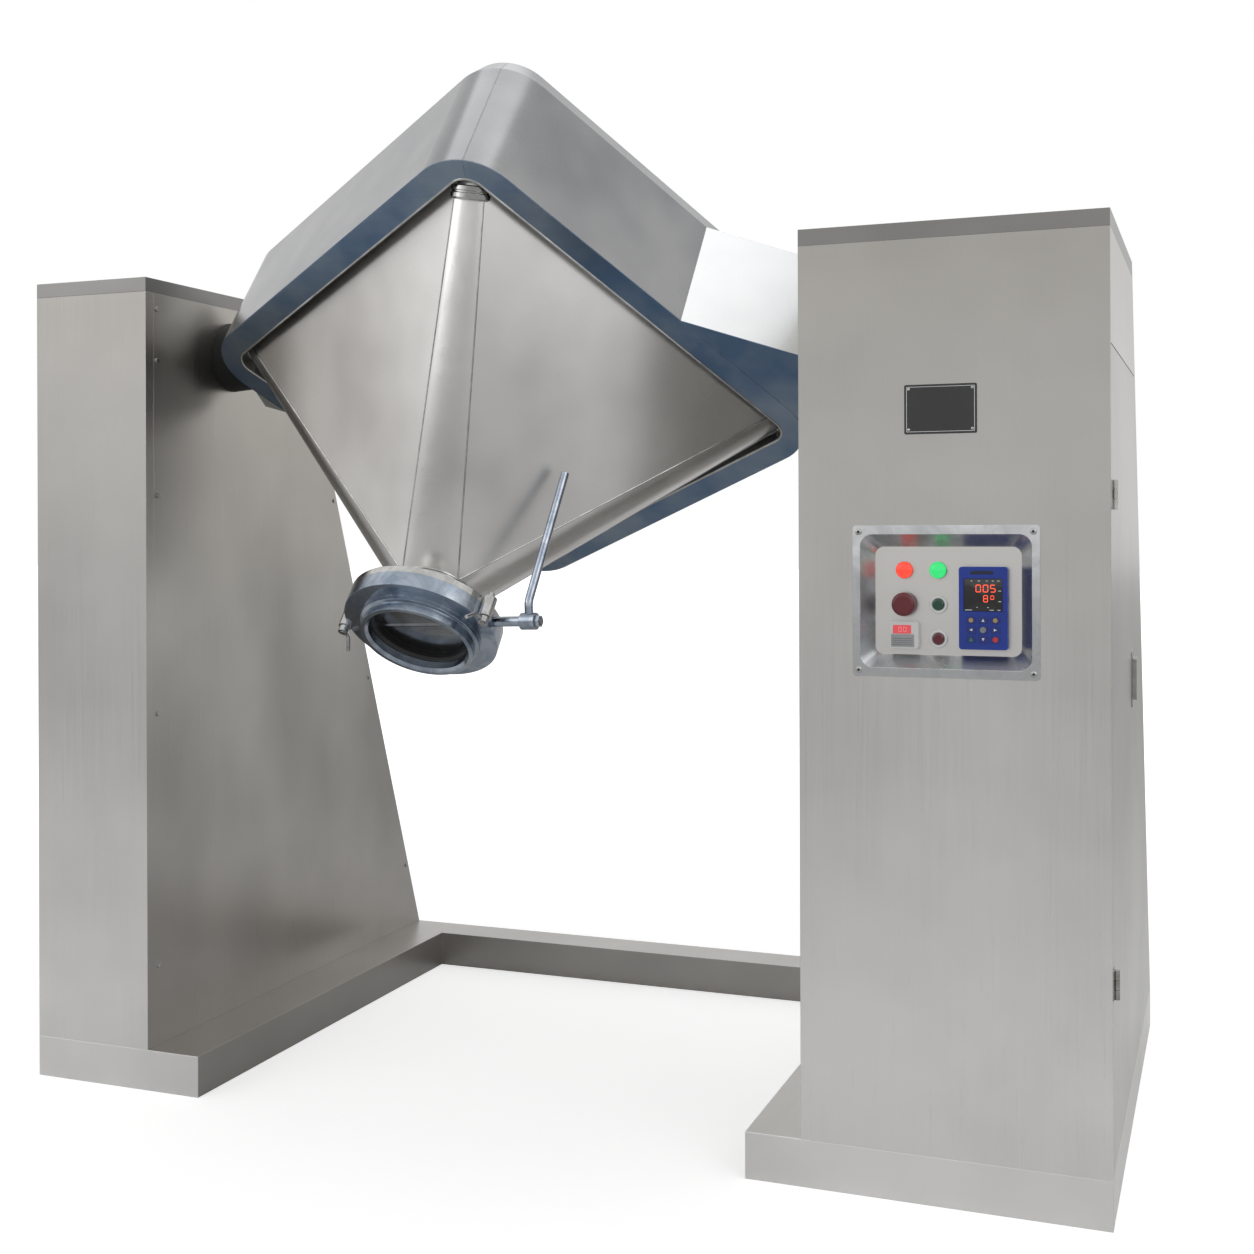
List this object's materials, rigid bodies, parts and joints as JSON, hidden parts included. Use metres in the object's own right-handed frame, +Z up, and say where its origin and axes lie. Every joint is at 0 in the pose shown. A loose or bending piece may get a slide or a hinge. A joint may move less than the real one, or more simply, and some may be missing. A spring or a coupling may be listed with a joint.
{
  "type": "double cone blender",
  "caption": "Tumbling powder blender: a square double cone vessel on trunnions between two steel columns, with a drive, a control panel, a lidded feed port and a butterfly discharge valve.",
  "frame": {"origin": "on the floor, at the middle of the footprint of the whole machine", "axes": "+X from the plain column to the drive column, along the vessel's rotation axis; -Y the operator's side, where the discharge is at rest; +Z up"},
  "size_m": [2.1614, 1.402, 1.9797],
  "materials": {
    "band_steel": "satin polished",
    "base_steel": "satin",
    "bearing_iron": "painted casting",
    "bezel_steel": "polished",
    "block_plastic": "matt",
    "bolt_steel": "bright",
    "bracket_steel": "satin polished",
    "button_green": "glossy",
    "button_red": "glossy",
    "button_stop": "glossy",
    "cap_steel": "brushed along the length",
    "column_steel": "vertical brushed satin",
    "cone_steel": "satin polished, soft streaks",
    "coupling_iron": "machined",
    "disc_steel": "polished",
    "door_steel": "vertical brushed satin",
    "fan_plastic": "matt",
    "fitting_steel": "polished",
    "frame_tube": "grey primer, matt",
    "handle_steel": "polished",
    "inverter_case": "textured",
    "keypad_case": "satin",
    "keypad_keys": "glossy",
    "knob_plastic": "satin",
    "lamp_lens": "glossy, ribbed",
    "lever_steel": "polished rod",
    "lid_steel": "satin polished",
    "motor_paint": "blue machine paint",
    "nameplate_black": "glossy black with a pale border",
    "neck_steel": "bright polished",
    "nut_steel": "bright",
    "panel_steel": "bright polished sheet",
    "plunger_black": "matt",
    "reducer_paint": "blue machine paint",
    "screw_steel": "turned",
    "seal_black": "smooth",
    "seal_rubber": "matt",
    "shaft_steel": "turned and ground",
    "spigot_steel": "bright polished",
    "timer_case": "glossy",
    "tray_steel": "mirror polished tray",
    "wheel_bronze": "machined"
  },
  "bodies": {
    "frame": {"base_frame": "base_steel", "left_frame": "frame_tube", "right_frame": "frame_tube", "left_shell": "column_steel", "left_inner_panel": "column_steel", "column_caps": "cap_steel", "right_front_panel": "column_steel", "right_shell": "column_steel", "door_hinges": "fitting_steel", "panel_plate": "panel_steel", "panel_tray": "tray_steel", "panel_bezels": "bezel_steel", "lamp_lenses": "lamp_lens", "timer_housing": "timer_case", "keypad_housing": "keypad_case", "keypad_face": "keypad_keys", "nameplate": "nameplate_black", "contact_blocks": "block_plastic", "inverter": "inverter_case", "panel_screws": "screw_steel", "shaft_bearings": "bearing_iron", "shaft_seals": "seal_rubber", "reducer_case": "reducer_paint", "motor_body": "motor_paint"},
    "vessel": {"trunnions": "shaft_steel", "trunnion_brackets": "bracket_steel", "band_bars": "band_steel", "outlet_cone": "cone_steel", "feed_cone": "cone_steel", "outlet_neck": "neck_steel", "discharge_spigot": "spigot_steel", "port_seals": "seal_black", "clamp_bolts": "bolt_steel", "feed_neck": "neck_steel", "worm_wheel": "wheel_bronze"},
    "motor_line": {"worm_shaft": "shaft_steel", "coupling": "coupling_iron", "motor_shaft": "shaft_steel", "motor_fan": "fan_plastic"},
    "valve": {"valve_disc": "disc_steel", "valve_lever": "lever_steel"},
    "clamp_nut_1": {"clamp_nut_1": "nut_steel"},
    "clamp_nut_2": {"clamp_nut_2": "nut_steel"},
    "feed_lid": {"feed_lid": "lid_steel"},
    "side_door": {"side_door": "door_steel", "side_door_fittings": "fitting_steel"},
    "side_lock_handle": {"side_lock_handle": "handle_steel"},
    "rear_door": {"rear_door": "door_steel", "rear_door_fittings": "fitting_steel"},
    "rear_lock_handle": {"rear_lock_handle": "handle_steel"},
    "start_button": {"start_button": "button_green"},
    "halt_button": {"halt_button": "button_red"},
    "stop_plunger": {"stop_plunger": "plunger_black"},
    "stop_head": {"stop_head": "button_stop"},
    "swing_bolt_1": {"swing_bolt_1": "bolt_steel"},
    "swing_knob_1": {"swing_knob_1": "knob_plastic"},
    "swing_bolt_2": {"swing_bolt_2": "bolt_steel"},
    "swing_knob_2": {"swing_knob_2": "knob_plastic"},
    "swing_bolt_3": {"swing_bolt_3": "bolt_steel"},
    "swing_knob_3": {"swing_knob_3": "knob_plastic"}
  },
  "joints": [
    {"name": "vessel_turn", "type": "hinge", "parent": "frame", "child": "vessel", "pos_m": [-0.1267, -0.14898, 1.515], "axis": [1, 0, 0], "continuous": true},
    {"name": "motor_turn", "type": "hinge", "parent": "frame", "child": "motor_line", "pos_m": [0.7933, -0.02398, 1.3], "axis": [0, 0, 1], "continuous": true},
    {"name": "valve_turn", "type": "hinge", "parent": "vessel", "child": "valve", "pos_m": [-0.1067, -0.57625, 0.96812], "axis": [0.9987, -0.0399, 0.0311], "range_deg": [0, 90]},
    {"name": "clamp_nut_1_turn", "type": "hinge", "parent": "vessel", "child": "clamp_nut_1", "pos_m": [0.03794, -0.62784, 0.97797], "axis": [0, -0.6157, -0.788], "range_deg": [0, 360]},
    {"name": "clamp_nut_2_turn", "type": "hinge", "parent": "vessel", "child": "clamp_nut_2", "pos_m": [-0.25848, -0.5975, 0.95427], "axis": [0, -0.6157, -0.788], "range_deg": [0, 360]},
    {"name": "feed_lid_swing", "type": "hinge", "parent": "vessel", "child": "feed_lid", "pos_m": [-0.15928, 0.23954, 1.66196], "axis": [-0.9715, -0.1866, 0.1458], "range_deg": [0, 110]},
    {"name": "swing_bolt_1_swing", "type": "hinge", "parent": "vessel", "child": "swing_bolt_1", "pos_m": [0.10898, 0.09993, 1.74819], "axis": [-0.2368, 0.7656, -0.5981], "range_deg": [-75, 15]},
    {"name": "swing_knob_1_turn", "type": "hinge", "parent": "swing_bolt_1", "child": "swing_knob_1", "pos_m": [0.10898, 0.09993, 1.74819], "axis": [0.9384, 0.3396, 0.0631], "range_deg": [0, 360]},
    {"name": "swing_bolt_2_swing", "type": "hinge", "parent": "vessel", "child": "swing_bolt_2", "pos_m": [-0.05412, -0.11146, 1.91335], "axis": [0.9715, 0.1866, -0.1458], "range_deg": [-75, 15]},
    {"name": "swing_knob_2_turn", "type": "hinge", "parent": "swing_bolt_2", "child": "swing_knob_2", "pos_m": [-0.05412, -0.11146, 1.91335], "axis": [0.2288, -0.5802, 0.7817], "range_deg": [0, 360]},
    {"name": "swing_bolt_3_swing", "type": "hinge", "parent": "vessel", "child": "swing_bolt_3", "pos_m": [-0.32238, 0.01707, 1.81293], "axis": [0.2368, -0.7656, 0.5981], "range_deg": [-75, 15]},
    {"name": "swing_knob_3_turn", "type": "hinge", "parent": "swing_bolt_3", "child": "swing_knob_3", "pos_m": [-0.32238, 0.01707, 1.81293], "axis": [-0.9384, -0.0209, 0.3448], "range_deg": [0, 360]},
    {"name": "side_door_swing", "type": "hinge", "parent": "frame", "child": "side_door", "pos_m": [1.0757, -0.43598, 0.9], "axis": [0, 0, -1], "range_deg": [0, 110]},
    {"name": "side_lock_turn", "type": "hinge", "parent": "side_door", "child": "side_lock_handle", "pos_m": [1.0703, 0.06602, 0.875], "axis": [1, 0, 0], "range_deg": [0, 90]},
    {"name": "rear_door_swing", "type": "hinge", "parent": "frame", "child": "rear_door", "pos_m": [1.0473, 0.49793, 0.64661], "axis": [0, 0.3469, -0.9379], "range_deg": [0, 110]},
    {"name": "rear_lock_turn", "type": "hinge", "parent": "rear_door", "child": "rear_lock_handle", "pos_m": [0.6423, 0.40769, 0.875], "axis": [0, 0.9379, 0.3469], "range_deg": [0, 90]},
    {"name": "start_button_press", "type": "slide", "parent": "frame", "child": "start_button", "axis": [0, 1, 0], "range_m": [0, 0.003], "stiffness_N_per_m": 500, "springref_m": -0.001},
    {"name": "halt_button_press", "type": "slide", "parent": "frame", "child": "halt_button", "axis": [0, 1, 0], "range_m": [0, 0.003], "stiffness_N_per_m": 500, "springref_m": -0.001},
    {"name": "stop_press", "type": "slide", "parent": "frame", "child": "stop_plunger", "axis": [0, 1, 0], "range_m": [0, 0.005], "stiffness_N_per_m": 900, "springref_m": -0.001},
    {"name": "stop_release", "type": "hinge", "parent": "stop_plunger", "child": "stop_head", "pos_m": [0.7313, -0.48898, 1.006], "axis": [0, 1, 0], "range_deg": [0, 45], "stiffness_Nm_per_rad": 0.05, "springref_deg": -5.73}
  ],
  "couplings": [
    {"joint": "motor_turn", "follows": "vessel_turn", "ratio": 40}
  ]
}
